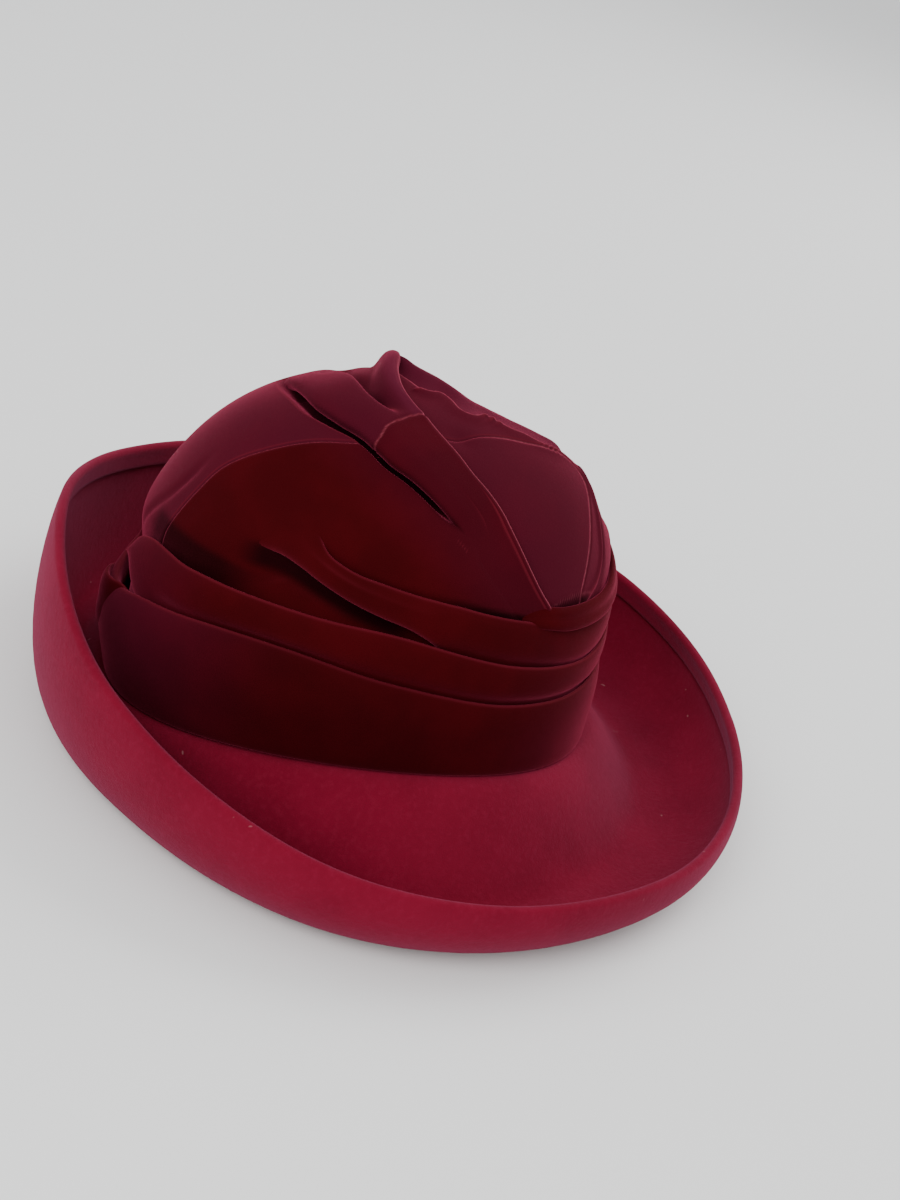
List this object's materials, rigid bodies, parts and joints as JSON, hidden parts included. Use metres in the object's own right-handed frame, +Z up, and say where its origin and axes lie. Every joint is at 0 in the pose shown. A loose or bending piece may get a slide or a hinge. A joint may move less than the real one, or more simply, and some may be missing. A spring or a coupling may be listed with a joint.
{
  "type": "cocktail tilt hat",
  "caption": "Felt hat with an upturned rolled brim, a draped velvet crown and a pleated velvet band; it rests on its brim and fits over a head.",
  "frame": {"origin": "under the middle of the hat's outline, on the surface that the brim rests on", "axes": "+Z up, -Y towards the hat's front, -X towards the wearer's right"},
  "size_m": [0.3096, 0.3032, 0.1601],
  "materials": {
    "felt": "brushed wool felt, matt, wine red",
    "velvet": "silk velvet pile, deep wine red with a soft pink sheen at grazing angles"
  },
  "bodies": {
    "root": {"brim": "felt", "crown_side_right": "velvet", "crown_centre": "velvet", "crown_side_left": "velvet", "band_pleat_low": "velvet", "band_pleat_middle": "velvet", "band_pleat_top": "velvet", "diagonal_fold": "velvet", "tip_fold_crest": "velvet", "tip_fold_wave": "velvet", "front_knot": "velvet", "back_loop": "velvet"}
  },
  "joints": []
}
